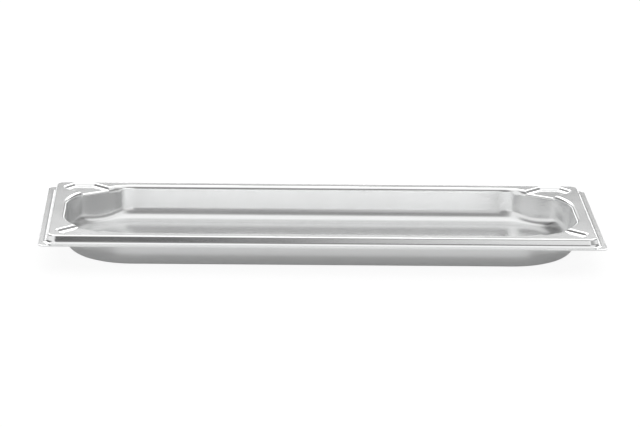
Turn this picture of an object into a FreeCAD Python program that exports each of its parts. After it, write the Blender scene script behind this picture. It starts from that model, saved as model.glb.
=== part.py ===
import FreeCAD, Part
import math
import os

# A shallow food pan pressed from one sheet of stainless steel.
# Frame: millimetres, +Z up, origin under the middle of the base, +X along the pan.
# The sheet is the solid between two forms: the upper form fills everything below its
# top surface and the lower form fills everything below its underside.

# Driving dimensions
PAN_LENGTH = 325.0        # over the lip, along X
PAN_WIDTH = 132.0         # over the lip, along Y
PAN_DEPTH = 20.0          # from the top of the rim to the inside of the floor
SHEET = 0.7               # thickness of the sheet

# Rim: a level flange, a short skirt turned down from it and a narrow lip turned out again
LIP_CORNER_RADIUS = 3.5
LIP_WIDTH = 4.1           # from the edge of the lip to the foot of the skirt
RIM_DROP = 4.5            # from the flange down to the top of the lip
SKIRT_LEAN = 1.1          # how far the skirt leans in over its height
SKIRT_CORNER_RADIUS = 6.0
SKIRT_TOP_BEND = 1.0      # bend radii are those of the upper surface
SKIRT_FOOT_BEND = 2.2

# Bowl
WALL_INSET = 13.0         # from the edge of the lip to the wall at the top
WALL_DRAFT = 3.0          # degrees from upright
OPENING_CORNER_RADIUS = 40.0
OPENING_BEND = 2.0
FLOOR_BEND = 8.0

# Stacking ledge: a shallow seat sunk in the flange at each end of both long sides.
# Its points are measured in from the end of the pan and in from its long side.
LEDGE_DROP = 1.5
LEDGE_SEAT = ((25.0, 32.0), (10.2, 17.2), (16.6, 8.8), (27.0, 8.8), (38.2, 19.9), (38.2, 32.0))
LEDGE_SEAT_CORNER = 3.0
LEDGE_SEAT_SLOPE = 1.3    # how far the seat's side leans out over its height
LEDGE_SEAT_BEND = 0.5     # between the seat's floor and its side
LEDGE_NOSE = ((21.3, 27.0), (31.1, 22.2), (39.5, 15.2))
LEDGE_NOSE_DRAFT = 1.5    # degrees from upright
LEDGE_NOSE_BEND = 1.3
LEDGE_KEEP = 8.0          # the nose's body stays this far in from the lip

RIM_TOP = SHEET + PAN_DEPTH
LIP_TOP = RIM_TOP - RIM_DROP
CLEAR = 10.0              # how far a cutting form runs past the pan
TOUCH = 0.001


def corner_point(centre, radius, degrees):
    angle = math.radians(degrees)
    return centre + FreeCAD.Vector(radius * math.cos(angle), radius * math.sin(angle), 0)


def outline(inset, corner_radius, height):
    """A level rounded rectangle, set in from the edge of the lip."""
    reach_x = PAN_LENGTH / 2 - inset - corner_radius
    reach_y = PAN_WIDTH / 2 - inset - corner_radius
    quarters = ((1, 1, 0), (-1, 1, 90), (-1, -1, 180), (1, -1, 270))
    arcs = []
    for side_x, side_y, start in quarters:
        centre = FreeCAD.Vector(side_x * reach_x, side_y * reach_y, height)
        first, middle, last = (corner_point(centre, corner_radius, start + turn) for turn in (0, 45, 90))
        arcs.append((first, middle, last))
    edges = []
    for number, (first, middle, last) in enumerate(arcs):
        edges.append(Part.Arc(first, middle, last).toShape())
        edges.append(Part.LineSegment(last, arcs[(number + 1) % 4][0]).toShape())
    return Part.Wire(edges)


def loft(lower, upper):
    return Part.makeLoft([lower, upper], True, True)


def level_edges(shape, height, least_inset, most_inset):
    """The edges that lie level at this height, within a band set in from the lip."""
    found = []
    for edge in shape.Edges:
        box = edge.BoundBox
        if box.ZMax - box.ZMin > TOUCH or abs(box.ZMin - height) > TOUCH:
            continue
        middle = edge.valueAt((edge.FirstParameter + edge.LastParameter) / 2)
        inset = min(PAN_LENGTH / 2 - abs(middle.x), PAN_WIDTH / 2 - abs(middle.y))
        if least_inset <= inset <= most_inset:
            found.append(edge)
    return found


def rim_form(gap):
    """The lip, the skirt and the flange as one block, its surface gap below the sheet's top."""
    lean = math.atan2(SKIRT_LEAN, RIM_DROP)
    shift = gap / math.cos(lean)
    lip_top = LIP_TOP - gap
    overhang = CLEAR if gap else 0
    lip = loft(outline(-overhang, LIP_CORNER_RADIUS, -CLEAR), outline(-overhang, LIP_CORNER_RADIUS, lip_top))
    foot_inset = LIP_WIDTH + shift
    foot = outline(foot_inset, SKIRT_CORNER_RADIUS - gap, lip_top)
    brim = outline(foot_inset + SKIRT_LEAN, SKIRT_CORNER_RADIUS - gap - SKIRT_LEAN, RIM_TOP - gap)
    block = lip.fuse(loft(foot, brim)).removeSplitter()
    block = block.makeFillet(SKIRT_FOOT_BEND + gap, level_edges(block, lip_top, LIP_WIDTH / 2, CLEAR))
    return block.makeFillet(SKIRT_TOP_BEND - gap, level_edges(block, RIM_TOP - gap, LIP_WIDTH / 2, CLEAR))


def bowl_form(gap):
    """The hollow of the bowl, grown by gap, with the bend between its wall and floor."""
    floor = SHEET - gap
    rise = RIM_TOP + CLEAR - floor
    slope = math.tan(math.radians(WALL_DRAFT))
    grown = gap / math.cos(math.radians(WALL_DRAFT))
    top_inset = WALL_INSET - CLEAR * slope - grown
    top_radius = OPENING_CORNER_RADIUS + CLEAR * slope + grown
    top = outline(top_inset, top_radius, floor + rise)
    bottom = outline(top_inset + rise * slope, top_radius - rise * slope, floor)
    bowl = loft(bottom, top)
    return bowl.makeFillet(FLOOR_BEND + gap, level_edges(bowl, floor, 0, PAN_WIDTH))


def corner_spot(spot, height):
    """A point given in from the end and in from the long side, at the +X +Y corner."""
    return FreeCAD.Vector(PAN_LENGTH / 2 - spot[0], PAN_WIDTH / 2 - spot[1], height)


def seat_form(gap):
    """The ledge's seat as a block that reaches above the flange, its sides leaning out."""
    floor = RIM_TOP - LEDGE_DROP - gap
    rise = LEDGE_DROP + CLEAR
    path = Part.makePolygon([corner_spot(spot, floor) for spot in LEDGE_SEAT + LEDGE_SEAT[:1]])
    lower = path.makeOffset2D(gap, 2) if gap else path
    upper = lower.makeOffset2D(rise * LEDGE_SEAT_SLOPE / LEDGE_DROP, 2)
    upper.translate(FreeCAD.Vector(0, 0, rise))
    block = loft(lower, upper)
    upright = [edge for edge in block.Edges if edge.BoundBox.ZLength > TOUCH]
    block = block.makeFillet(LEDGE_SEAT_CORNER + gap, upright)
    return block.makeFillet(LEDGE_SEAT_BEND + gap, level_edges(block, floor, 0, PAN_WIDTH))


def nose_form(gap):
    """The ledge's nose: part of a cone that stands in the bowl's corner, from the floor up to the seat."""
    top = RIM_TOP - LEDGE_DROP - gap
    circle = Part.Arc(*(corner_spot(spot, top) for spot in LEDGE_NOSE)).toShape().Curve
    slope = math.tan(math.radians(LEDGE_NOSE_DRAFT))
    shift = gap / math.cos(math.radians(LEDGE_NOSE_DRAFT))
    radius = circle.Radius - shift
    base = FreeCAD.Vector(circle.Center.x, circle.Center.y, 0)
    cone = Part.makeCone(radius + top * slope, radius, top, base)
    rim = [edge for edge in cone.Edges if edge.BoundBox.ZMin > top - TOUCH]
    cone = cone.makeFillet(LEDGE_NOSE_BEND - gap, rim)
    keep = LEDGE_KEEP + gap
    room = loft(outline(keep, SKIRT_CORNER_RADIUS, 0), outline(keep, SKIRT_CORNER_RADIUS, RIM_TOP))
    half = Part.makeBox(PAN_LENGTH, PAN_WIDTH, PAN_DEPTH + CLEAR)
    return cone.common(room).common(half)


def four_corners(shape):
    along = FreeCAD.Vector(1, 0, 0)
    across = FreeCAD.Vector(0, 1, 0)
    origin = FreeCAD.Vector(0, 0, 0)
    end = [shape, shape.mirror(origin, along)]
    return end + [piece.mirror(origin, across) for piece in end]


def sheet_form(gap):
    """Everything below a surface that lies gap under the sheet's upper surface."""
    form = rim_form(gap).cut(bowl_form(gap))
    form = form.makeFillet(OPENING_BEND - gap, level_edges(form, RIM_TOP - gap, WALL_INSET - 2, PAN_WIDTH))
    form = form.fuse(four_corners(nose_form(gap)))
    return form.cut(Part.makeCompound(four_corners(seat_form(gap)))).removeSplitter()


def pan():
    return sheet_form(0).cut(sheet_form(SHEET))


os.makedirs("parts", exist_ok=True)
shape = pan()
shape.exportStep("parts/pan.step")
box = shape.optimalBoundingBox()
print("pan", shape.isValid(), len(shape.Solids), "solids", round(shape.Volume), "mm3")
print("size", round(box.XLength, 3), round(box.YLength, 3), round(box.ZLength, 3), "low", round(box.ZMin, 3))
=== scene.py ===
import math

import bpy
import numpy as np
from mathutils import Matrix, Vector


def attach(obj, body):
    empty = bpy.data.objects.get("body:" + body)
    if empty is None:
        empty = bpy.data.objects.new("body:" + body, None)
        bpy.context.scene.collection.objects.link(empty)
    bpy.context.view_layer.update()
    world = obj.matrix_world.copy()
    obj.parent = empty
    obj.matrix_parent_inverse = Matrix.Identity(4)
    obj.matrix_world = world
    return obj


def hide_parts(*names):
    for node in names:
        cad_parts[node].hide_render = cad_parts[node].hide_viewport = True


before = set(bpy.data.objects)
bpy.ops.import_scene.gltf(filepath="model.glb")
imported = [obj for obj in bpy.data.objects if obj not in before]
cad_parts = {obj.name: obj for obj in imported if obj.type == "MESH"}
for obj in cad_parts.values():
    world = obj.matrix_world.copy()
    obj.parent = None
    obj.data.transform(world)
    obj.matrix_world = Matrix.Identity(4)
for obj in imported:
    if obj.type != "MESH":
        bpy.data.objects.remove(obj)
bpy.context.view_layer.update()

MM = 0.001

# Sizes of the pan in millimetres.
LENGTH = 325.0            # over the lip
WIDTH = 132.0
SHEET = 0.7
RIM_TOP = 20.7            # the flange's upper face above the base's underside
RIM_DROP = 4.5            # from the flange down to the lip's upper face
LIP_CORNER = 3.5
FOOT_INSET = 4.1          # from the lip's edge to the foot of the skirt
SKIRT_LEAN = 1.1
SKIRT_CORNER = 6.0
FOOT_BEND = 2.2           # bend radii are those of the upper face
BRIM_BEND = 1.0
WALL_INSET = 13.0
WALL_DRAFT = math.radians(3.0)
OPENING_CORNER = 40.0
MOUTH_BEND = 2.0
FLOOR_BEND = 8.0

# A stacking ledge's points are measured in from the pan's end and in from its long side.
LEDGE_DROP = 1.5
SEAT_OUTLINE = ((25.0, 32.0), (10.2, 17.2), (16.6, 8.8), (27.0, 8.8), (38.2, 19.9), (38.2, 32.0))
SEAT_CORNER = 3.0
SEAT_SLOPE = 1.3          # how far the seat's side leans out over its height
SEAT_FOOT_BLEND = 0.45
SEAT_EDGE_BLEND = 0.75
NOSE_ARC = ((21.3, 27.0), (31.1, 22.2), (39.5, 15.2))
NOSE_DRAFT = math.radians(1.5)
NOSE_FADE = 2.0           # how fast the nose draws back above the seat
NOSE_BEND = 1.3
NOSE_BLEND = 5.0
DEBURR_WIDTH = 0.12       # the cut edge's small bevel
DEBURR_ANGLE = math.radians(50)
WELD_DISTANCE = 0.02      # points of two quarters nearer than this become one

# The bowl's corner arcs are drawn about the corners of this level rectangle.
CORE_INSET = WALL_INSET + OPENING_CORNER
CORE_X = LENGTH / 2 - CORE_INSET
CORE_Y = WIDTH / 2 - CORE_INSET

# The bend from the wall into the floor: its turn, the height of its top and how far out from the
# core rectangle the level floor ends.
FLOOR_TURN = math.pi / 2 - WALL_DRAFT
BEND_TOP = SHEET + FLOOR_BEND * (1 - math.cos(FLOOR_TURN))
FLOOR_EDGE = (OPENING_CORNER - (RIM_TOP - SHEET) * math.tan(WALL_DRAFT)
              - FLOOR_BEND * math.tan(FLOOR_TURN / 2))

# How finely the sheet is drawn. A fan's span is two angles in degrees and its rays; a flange's span
# is two shares of the way from the brim to the mouth and its rings. The lip's rings lie at shares of
# the way in to the foot's bend, and the floor's at shares of the way out to its edge.
LONG_SIDE_RAYS = 10
SHORT_SIDE_RAYS = 3
FAN_SPANS = ((90, 71, 8), (71, 60, 27), (60, 50, 12), (50, 40.5, 26), (40.5, 36, 12), (36, 0, 14))
LIP_SHARES = (0, 0.15, 0.5, 0.85)
FOOT_RINGS = 7
BRIM_RINGS = 9
FLANGE_SPANS = ((0, 0.08, 3), (0.08, 0.36, 16), (0.36, 1, 19))
MOUTH_RINGS = 8
WALL_RINGS = 9
FLOOR_BEND_RINGS = 11
FLOOR_SHARES = (0.95, 0.8, 0.55, 0.25)

# The steel's finish, in millimetres. The bowl's softer finish ends at a distance from the pan's
# middle along the pan, one across it and a height.
CLOUD_SIZE = 30.0
GRAIN_SIZE = 0.9
GRAIN_STRETCH = (0.06, 1.0, 1.0)
GRAIN_DEPTH = 0.004
BOWL_REACH = (152.0, 55.0, 18.5)
BOWL_FADE = 1.0
BOWL_ROUGHNESS = 0.25
RIM_ROUGHNESS = 0.16
UNEVENNESS = 0.03         # the most that a cloud or a streak changes the roughness

# The studio: how bright the tent is, and its panels. A panel's numbers are the way it lies, round
# from the front towards +X, its width, the height of its middle, its depth, the softness of its
# edge, all in degrees, and how much it adds to the tent. Cards and gaps take light away.
TENT = 0.98
PANELS = (
    (0, 400, 80, 40, 20, 0.12),       # overhead
    (180, 60, 39, 28, 12, 1.7),       # high bank behind
    (180, 60, 23, 14, 6, 1.1),        # low bank behind
    (180, 150, 14, 10, 6, -0.92),     # gap under the banks
    (180, 70, 3, 10, 5, 0.6),         # strip along the table behind
    (-4, 14, 15.5, 21, 5, -0.9),      # black card in front
    (-17, 16, 17.5, 21, 6, -0.3),     # grey card beside it
    (2, 36, 44, 34, 8, -0.72),        # dark gap above them
    (15, 18, 3, 12, 4, 0.7),          # strip along the table in front
    (63, 83, 18, 20, 10, -0.65),      # gap on the right
    (-85, 50, 37, 26, 12, -0.75),     # gap on the left
    (119, 44, 36, 36, 8, -0.6),       # high gap on the right
    (-119, 44, 36, 36, 8, -0.6),      # high gap on the left
)
TABLE_REACH = 12.0        # metres from the middle to each edge
MIRRORED_GLOW = 0.1       # the table's own light, as the steel mirrors it
LENS_GLOW = 0.9           # and as the lens sees it

# The camera, in metres: where it stands, the way it looks, the way that is up, and its lens.
CAMERA_PLACE = (-0.0629, -1.8800, 0.5232)
CAMERA_AHEAD = (0.03218, 0.96531, -0.25911)
CAMERA_ABOVE = (-0.00818, 0.25949, 0.96571)
CAMERA_LENS = 186.1       # millimetres


def linear(hex_colour):
    """An sRGB hex colour as linear red, green, blue and alpha."""
    parts = [int(hex_colour[place:place + 2], 16) / 255 for place in (1, 3, 5)]
    return [c / 12.92 if c <= 0.04045 else ((c + 0.055) / 1.055) ** 2.4 for c in parts] + [1.0]


def add(tree, kind, inputs=None, **settings):
    """Adds a node with its settings; inputs, by name or number, take a socket or a plain value."""
    node = tree.nodes.new(kind)
    for name, value in settings.items():
        setattr(node, name, value)
    for name, source in (inputs or {}).items():
        if isinstance(source, bpy.types.NodeSocket):
            tree.links.new(source, node.inputs[name])
        else:
            node.inputs[name].default_value = source
    return node


# ---------------------------------------------------------------- the pressed sheet

def lesser(one, other, blend):
    """The lesser of two values, with the change between them rounded over a blend."""
    return np.minimum(one, other) - np.maximum(blend - np.abs(one - other), 0) ** 2 / (4 * blend)


def sides(corners):
    """Each side of an outline as its start, its direction and its length."""
    found = []
    for number, start in enumerate(corners):
        start = np.array(start)
        run = np.array(corners[(number + 1) % len(corners)]) - start
        length = math.hypot(*run)
        found.append((start, run / length, length))
    return found


def shrunk(corners, inset):
    """The outline moved in by an inset; its corners become the centres of the corner arcs."""
    around = sides(corners)
    centres = []
    for number, (start, way, _) in enumerate(around):
        before = around[number - 1][1]
        inward = np.array((way[1], -way[0]))
        inward_before = np.array((before[1], -before[0]))
        middle = (inward + inward_before) / (1 + inward @ inward_before)
        centres.append(tuple(start - middle * inset))
    return centres


def seat_distance(x_in, y_in):
    """How far level points lie outside the seat's floor, whose outline has round corners."""
    centres = shrunk(SEAT_OUTLINE, SEAT_CORNER)
    nearest = np.full(x_in.shape, np.inf)
    inside = np.ones(x_in.shape, bool)
    for start, way, length in sides(centres):
        from_x, from_y = x_in - start[0], y_in - start[1]
        along = np.clip(from_x * way[0] + from_y * way[1], 0, length)
        nearest = np.minimum(nearest, np.hypot(from_x - along * way[0], from_y - along * way[1]))
        inside &= from_x * way[1] - from_y * way[0] <= 0
    return np.where(inside, -nearest, nearest) - SEAT_CORNER


def sunk(x, y):
    """How far the flange is pressed down at a level point of the +X +Y quarter."""
    out = seat_distance(LENGTH / 2 - x, WIDTH / 2 - y)
    left = -lesser(-out * LEDGE_DROP / SEAT_SLOPE, 0, SEAT_FOOT_BLEND)
    return LEDGE_DROP - lesser(left, LEDGE_DROP, SEAT_EDGE_BLEND)


def circle_through(one, two, three):
    """The centre and radius of the circle through three points."""
    (ax, ay), (bx, by), (cx, cy) = one, two, three
    rows = np.array(((bx - ax, by - ay), (cx - ax, cy - ay)))
    sums = np.array((bx * bx - ax * ax + by * by - ay * ay,
                     cx * cx - ax * ax + cy * cy - ay * ay)) / 2
    centre = np.linalg.solve(rows, sums)
    return centre, math.hypot(ax - centre[0], ay - centre[1])


def station_angles():
    """The directions of the rays that fan out round a corner, closest where the ledge's sides lie
    and where the rim turns its tight corner."""
    fan = [np.linspace(first, last, rays, endpoint=False) for first, last, rays in FAN_SPANS]
    return np.radians(np.append(np.concatenate(fan), 0))


def stations():
    """Rays across the quarter's edge: where each starts on the core rectangle and its way out."""
    fan = station_angles()
    along = np.linspace(0, CORE_X, LONG_SIDE_RAYS + 1)[:-1]
    across = np.linspace(CORE_Y, 0, SHORT_SIDE_RAYS + 1)[1:]
    start_x = np.concatenate((along, np.full(len(fan) + len(across), CORE_X)))
    start_y = np.concatenate((np.full(len(along) + len(fan), CORE_Y), across))
    angle = np.concatenate((np.full(len(along), math.pi / 2), fan, np.zeros(len(across))))
    return start_x, start_y, np.cos(angle), np.sin(angle)


def reach_to(way_x, way_y, inset, corner):
    """How far along its ray each station meets a rounded rectangle set in from the lip's edge."""
    span = CORE_INSET - inset
    core = span - corner
    longer, shorter = np.maximum(way_x, way_y), np.minimum(way_x, way_y)
    total = way_x + way_y
    inside = np.maximum((core * total) ** 2 - 2 * core ** 2 + corner ** 2, 0)
    on_corner = span * shorter / longer > core
    return np.where(on_corner, core * total + np.sqrt(inside), span / longer)


def rim_rings(way_x, way_y):
    """The lip, the skirt and the two bends between them and the flange, from the edge inwards."""
    rings = []
    lip_top = RIM_TOP - RIM_DROP
    turn_over = math.pi / 2 - math.atan2(SKIRT_LEAN, RIM_DROP)

    def ring(inset, corner, height):
        reach = reach_to(way_x, way_y, inset, corner)
        rings.append((reach, np.full(reach.shape, height)))

    foot_start = FOOT_INSET - FOOT_BEND * math.tan(turn_over / 2)
    foot_corner = SKIRT_CORNER + FOOT_INSET - foot_start
    for share in LIP_SHARES:
        ring(foot_start * share, LIP_CORNER + (foot_corner - LIP_CORNER) * share, lip_top)
    for turn in np.linspace(0, turn_over, FOOT_RINGS):
        inset = foot_start + FOOT_BEND * math.sin(turn)
        ring(inset, SKIRT_CORNER + FOOT_INSET - inset, lip_top + FOOT_BEND * (1 - math.cos(turn)))
    brim_end = FOOT_INSET + SKIRT_LEAN + BRIM_BEND * math.tan(turn_over / 2)
    for turn in np.linspace(turn_over, 0, BRIM_RINGS):
        inset = brim_end - BRIM_BEND * math.sin(turn)
        ring(inset, SKIRT_CORNER + FOOT_INSET - inset, RIM_TOP - BRIM_BEND * (1 - math.cos(turn)))
    return rings


def plain_reach(height):
    """How far the bowl's wall, and the bend at its foot, lie from the core rectangle."""
    wall = OPENING_CORNER - (RIM_TOP - height) * math.tan(WALL_DRAFT)
    below = np.clip(SHEET + FLOOR_BEND - height, 0, FLOOR_BEND)
    bend = FLOOR_EDGE + np.sqrt(FLOOR_BEND ** 2 - below ** 2)
    return np.where(height < BEND_TOP, bend, wall)


def wall_reach(way_x, way_y, height):
    """How far out the bowl's wall lies at a height, with the ledge's nose standing out of it."""
    wall = plain_reach(height)
    centre, radius = circle_through(*NOSE_ARC)
    below = RIM_TOP - LEDGE_DROP - height
    radius = radius + np.maximum(below, 0) * math.tan(NOSE_DRAFT)
    across = (CORE_INSET - centre[0], CORE_INSET - centre[1])
    middle = across[0] * way_x + across[1] * way_y
    inside = radius ** 2 - across[0] ** 2 - across[1] ** 2 + middle ** 2
    nose = middle - np.sqrt(np.maximum(inside, 0)) + NOSE_FADE * np.maximum(-below, 0)
    return np.where(inside > 0, lesser(wall, nose, NOSE_BLEND), wall)


def bowl_rings(start_x, start_y, way_x, way_y, brim_reach):
    """The flange, the ledge pressed into it, the mouth's bend, the wall and the floor."""
    def pressed(reach):
        return RIM_TOP - sunk(start_x + way_x * reach, start_y + way_y * reach)

    # the mouth's place and its height depend on each other, so a few rounds settle them
    step = 0.1
    mouth = np.full(way_x.shape, OPENING_CORNER + MOUTH_BEND)
    for _ in range(4):
        level = pressed(mouth)
        edge = wall_reach(way_x, way_y, level)
        slope = (edge - wall_reach(way_x, way_y, level - step)) / step
        turn_down = math.pi / 2 - np.arctan(slope)
        bend = MOUTH_BEND + (NOSE_BEND - MOUTH_BEND) * (RIM_TOP - level) / LEDGE_DROP
        mouth = edge + bend * np.tan(turn_down / 2)

    rings = []
    spans = [np.linspace(first, last, count + 1)[1:] for first, last, count in FLANGE_SPANS]
    for share in np.concatenate(spans):
        reach = brim_reach + (mouth - brim_reach) * share
        rings.append((reach, pressed(reach)))
    for share in np.linspace(0, 1, MOUTH_RINGS + 1)[1:]:
        turn = turn_down * share
        rings.append((mouth - bend * np.sin(turn), level - bend * (1 - np.cos(turn))))
    top = rings[-1][1]
    for share in np.linspace(0, 1, WALL_RINGS + 1)[1:]:
        height = top + (BEND_TOP - top) * share
        rings.append((wall_reach(way_x, way_y, height), height))
    for turn in np.linspace(FLOOR_TURN, 0, FLOOR_BEND_RINGS + 1)[1:]:
        height = np.full(way_x.shape, SHEET + FLOOR_BEND * (1 - math.cos(turn)))
        rings.append((wall_reach(way_x, way_y, height), height))
    for share in FLOOR_SHARES:
        rings.append((np.full(way_x.shape, FLOOR_EDGE * share), np.full(way_x.shape, SHEET)))
    return rings


def quarter_sheet():
    """The upper face of the +X +Y quarter of the sheet, as rings of quads from the lip inwards and
    one last face round the pan's middle."""
    start_x, start_y, way_x, way_y = stations()
    rings = rim_rings(way_x, way_y)
    rings += bowl_rings(start_x, start_y, way_x, way_y, rings[-1][0])
    count = len(way_x)
    points = [np.stack((start_x + way_x * reach, start_y + way_y * reach, height), 1)
              for reach, height in rings]
    points.append(np.array(((0.0, 0.0, SHEET),)))
    faces = []
    for ring in range(len(rings) - 1):
        for station in range(count - 1):
            corner = ring * count + station
            faces.append((corner, corner + count, corner + count + 1, corner + 1))
    last = (len(rings) - 1) * count
    faces.append((*range(last + count - 1, last - 1, -1), last + count))
    mesh = bpy.data.meshes.new("quarter")
    mesh.from_pydata((np.concatenate(points) * MM).tolist(), [], faces)
    return mesh


# ---------------------------------------------------------------- the whole pan

def mirrored_quarters():
    """A node tree that repeats the quarter across the pan's two centre planes and welds the joins."""
    tree = bpy.data.node_groups.new("mirrored_quarters", "GeometryNodeTree")
    face = tree.interface
    face.new_socket("Quarter", in_out="INPUT", socket_type="NodeSocketGeometry")
    face.new_socket("Weld Distance", in_out="INPUT", socket_type="NodeSocketFloat")
    face.new_socket("Steel", in_out="INPUT", socket_type="NodeSocketMaterial")
    face.new_socket("Sheet", in_out="OUTPUT", socket_type="NodeSocketGeometry")
    given = add(tree, "NodeGroupInput").outputs
    sheet = given["Quarter"]
    for across in ((-1, 1, 1), (1, -1, 1)):
        turned = add(tree, "GeometryNodeTransform", {"Geometry": sheet, "Scale": across})
        flipped = add(tree, "GeometryNodeFlipFaces", {"Mesh": turned.outputs[0]})
        both = add(tree, "GeometryNodeJoinGeometry", {"Geometry": sheet})
        tree.links.new(flipped.outputs[0], both.inputs[0])
        sheet = both.outputs[0]
    welded = add(tree, "GeometryNodeMergeByDistance",
                 {"Geometry": sheet, "Distance": given["Weld Distance"]})
    real = add(tree, "GeometryNodeRealizeInstances", {"Geometry": welded.outputs[0]})
    smooth = add(tree, "GeometryNodeSetShadeSmooth", {"Geometry": real.outputs[0]})
    finished = add(tree, "GeometryNodeSetMaterial",
                   {"Geometry": smooth.outputs[0], "Material": given["Steel"]})
    add(tree, "NodeGroupOutput", {0: finished.outputs[0]})
    return tree


def pressed_pan(steel):
    """The pan: the quarter repeated, given the sheet's thickness, its cut edge barely rounded."""
    quarter = bpy.data.objects.new("quarter", quarter_sheet())
    bpy.context.scene.collection.objects.link(quarter)
    repeat = quarter.modifiers.new("repeat", "NODES")
    repeat.node_group = mirrored_quarters()
    listed = repeat.node_group.interface.items_tree
    sockets = {item.name: item.identifier for item in listed if item.in_out == "INPUT"}
    repeat[sockets["Weld Distance"]] = WELD_DISTANCE * MM
    repeat[sockets["Steel"]] = steel
    seen = quarter.evaluated_get(bpy.context.evaluated_depsgraph_get())
    mesh = bpy.data.meshes.new_from_object(seen)
    bpy.data.objects.remove(quarter)
    mesh.name = "pressed_pan"
    pan = bpy.data.objects.new("pressed_pan", mesh)
    bpy.context.scene.collection.objects.link(pan)
    thick = pan.modifiers.new("sheet", "SOLIDIFY")
    thick.thickness = SHEET * MM
    thick.offset = -1
    thick.use_even_offset = True
    deburred = pan.modifiers.new("deburred_edge", "BEVEL")
    deburred.width = DEBURR_WIDTH * MM
    deburred.segments = 2
    deburred.limit_method = "ANGLE"
    deburred.angle_limit = DEBURR_ANGLE
    level = pan.modifiers.new("level_faces", "WEIGHTED_NORMAL")
    level.keep_sharp = True
    return pan


# ---------------------------------------------------------------- steel

def stainless_steel():
    """Stainless sheet, drawn and lightly polished: a bright, slightly soft mirror.

    The bowl, which stretched in the die, has a softer sheen than the rim, which was only bent.
    Cloudy patches where the die rubbed more and less make the sheen uneven, and the rolling grain
    along the sheet breaks up the reflections, so that it doesn't look like chrome."""
    steel = bpy.data.materials.new("stainless_steel_drawn")
    steel.use_nodes = True
    tree = steel.node_tree
    tree.nodes.clear()
    place = add(tree, "ShaderNodeTexCoord").outputs["Object"]
    bowl = None
    for spot, reach in zip(add(tree, "ShaderNodeSeparateXYZ", {0: place}).outputs, BOWL_REACH):
        off = add(tree, "ShaderNodeMath", {0: spot}, operation="ABSOLUTE")
        near = add(tree, "ShaderNodeMapRange", {
            "Value": off.outputs[0], "From Min": (reach - BOWL_FADE) * MM, "From Max": reach * MM,
            "To Min": 1.0, "To Max": 0.0}, interpolation_type="SMOOTHSTEP").outputs[0]
        bowl = near if bowl is None else add(tree, "ShaderNodeMath", {0: bowl, 1: near},
                                             operation="MULTIPLY").outputs[0]
    drawn = add(tree, "ShaderNodeMapRange",
                {"Value": bowl, "To Min": RIM_ROUGHNESS, "To Max": BOWL_ROUGHNESS})
    cloud = add(tree, "ShaderNodeTexNoise",
                {"Vector": place, "Scale": 1 / (CLOUD_SIZE * MM), "Detail": 3.0})
    # real grain is finer than the eye can part from here, so it's drawn coarser
    along = add(tree, "ShaderNodeVectorMath", {0: place, 1: GRAIN_STRETCH}, operation="MULTIPLY")
    grain = add(tree, "ShaderNodeTexNoise", {
        "Vector": along.outputs[0], "Scale": 1 / (GRAIN_SIZE * MM), "Detail": 4.0, "Roughness": 0.6})
    patch = add(tree, "ShaderNodeMapRange",
                {"Value": cloud.outputs[0], "To Min": -UNEVENNESS, "To Max": UNEVENNESS})
    streak = add(tree, "ShaderNodeMapRange",
                 {"Value": grain.outputs[0], "To Min": -UNEVENNESS, "To Max": UNEVENNESS})
    uneven = add(tree, "ShaderNodeMath", {0: patch.outputs[0], 1: streak.outputs[0]}, operation="ADD")
    rough = add(tree, "ShaderNodeMath", {0: drawn.outputs[0], 1: uneven.outputs[0]}, operation="ADD")
    tint = add(tree, "ShaderNodeMix", {0: grain.outputs[0], 6: linear("#eeeeee"), 7: linear("#e7e8e8")},
               data_type="RGBA")
    bump = add(tree, "ShaderNodeBump",
               {"Height": grain.outputs[0], "Strength": 0.1, "Distance": GRAIN_DEPTH * MM})
    shader = add(tree, "ShaderNodeBsdfPrincipled", {
        "Base Color": tint.outputs[2], "Metallic": 1.0, "Roughness": rough.outputs[0],
        "Normal": bump.outputs[0]})
    add(tree, "ShaderNodeOutputMaterial", {"Surface": shader.outputs["BSDF"]})
    return steel


# ---------------------------------------------------------------- studio

def light_table():
    """A white table top with two looks. The lens sees it overexposed, with the palest of shadows;
    the steel mirrors it as a plain one, darker where the pan shades it."""
    corners = [(x * TABLE_REACH, y * TABLE_REACH, 0) for x, y in ((-1, -1), (1, -1), (1, 1), (-1, 1))]
    mesh = bpy.data.meshes.new("table_top")
    mesh.from_pydata(corners, [], [(0, 1, 2, 3)])
    table = bpy.data.objects.new("table_top", mesh)
    bpy.context.scene.collection.objects.link(table)
    acrylic = bpy.data.materials.new("white_acrylic")
    acrylic.use_nodes = True
    tree = acrylic.node_tree
    tree.nodes.clear()
    looked_at = add(tree, "ShaderNodeLightPath").outputs["Is Camera Ray"]
    colour = add(tree, "ShaderNodeMix", {0: looked_at, 6: linear("#dedede"), 7: linear("#6a6a6a")},
                 data_type="RGBA")
    glow = add(tree, "ShaderNodeMapRange",
               {"Value": looked_at, "To Min": MIRRORED_GLOW, "To Max": LENS_GLOW})
    shader = add(tree, "ShaderNodeBsdfPrincipled", {
        "Base Color": colour.outputs[2], "Roughness": 0.9, "Specular IOR Level": 0.0,
        "Emission Color": (1, 1, 1, 1), "Emission Strength": glow.outputs[0]})
    add(tree, "ShaderNodeOutputMaterial", {"Surface": shader.outputs["BSDF"]})
    mesh.materials.append(acrylic)


def within(tree, angle, middle, spread, soft):
    """One inside a spread of degrees about a middle and nothing outside it, with soft edges."""
    away = add(tree, "ShaderNodeMath", {0: angle, 1: middle}, operation="SUBTRACT").outputs[0]
    away = add(tree, "ShaderNodeMath", {0: away, 1: 180.0, 2: -180.0}, operation="WRAP").outputs[0]
    away = add(tree, "ShaderNodeMath", {0: away}, operation="ABSOLUTE").outputs[0]
    edge = add(tree, "ShaderNodeMapRange", {
        "Value": away, "From Min": (spread - soft) / 2, "From Max": (spread + soft) / 2,
        "To Min": 1.0, "To Max": 0.0}, interpolation_type="SMOOTHSTEP")
    return edge.outputs[0]


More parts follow.
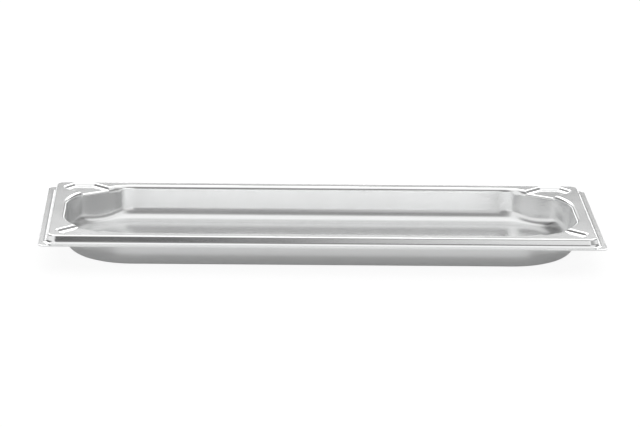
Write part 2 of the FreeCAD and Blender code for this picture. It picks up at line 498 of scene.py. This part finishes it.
def studio_light():
    """A pale tent round the table, with soft panels of light in it and dark gaps between them."""
    world = bpy.data.worlds.new("studio")
    bpy.context.scene.world = world
    world.use_nodes = True
    tree = world.node_tree
    tree.nodes.clear()
    way = add(tree, "ShaderNodeTexCoord").outputs["Generated"]
    x, y, z = add(tree, "ShaderNodeSeparateXYZ", {0: way}).outputs
    front = add(tree, "ShaderNodeMath", {0: y, 1: -1.0}, operation="MULTIPLY").outputs[0]
    turn = add(tree, "ShaderNodeMath", {0: x, 1: front}, operation="ARCTAN2").outputs[0]
    azimuth = add(tree, "ShaderNodeMath", {0: turn}, operation="DEGREES").outputs[0]
    rise = add(tree, "ShaderNodeMath", {0: z}, operation="ARCSINE").outputs[0]
    height = add(tree, "ShaderNodeMath", {0: rise}, operation="DEGREES").outputs[0]
    total = TENT
    for faces, width, middle, depth, soft, strength in PANELS:
        across = within(tree, azimuth, faces, width, soft)
        up = within(tree, height, middle, depth, soft)
        panel = add(tree, "ShaderNodeMath", {0: across, 1: up}, operation="MULTIPLY").outputs[0]
        lit = add(tree, "ShaderNodeMath", {0: panel, 1: strength, 2: total}, operation="MULTIPLY_ADD")
        total = lit.outputs[0]
    total = add(tree, "ShaderNodeMath", {0: total, 1: 0.0}, operation="MAXIMUM").outputs[0]
    light = add(tree, "ShaderNodeBackground", {"Color": (1, 1, 1, 1), "Strength": total})
    add(tree, "ShaderNodeOutputWorld", {"Surface": light.outputs[0]})


def studio_camera():
    """The camera: a long lens, looking down on the pan from the front."""
    ahead = Vector(CAMERA_AHEAD).normalized()
    right = ahead.cross(Vector(CAMERA_ABOVE)).normalized()
    turned = Matrix((right, right.cross(ahead), -ahead)).transposed().to_4x4()
    camera = bpy.data.cameras.new("camera")
    camera.lens = CAMERA_LENS
    camera.sensor_width = 36
    camera.clip_start = 0.1
    camera.clip_end = 50
    holder = bpy.data.objects.new("camera", camera)
    holder.matrix_world = Matrix.Translation(Vector(CAMERA_PLACE)) @ turned
    bpy.context.scene.collection.objects.link(holder)
    bpy.context.scene.camera = holder


pan = pressed_pan(stainless_steel())
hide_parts("pan")
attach(pan, "root")
light_table()
studio_light()
studio_camera()
bpy.context.scene.view_settings.view_transform = "Standard"
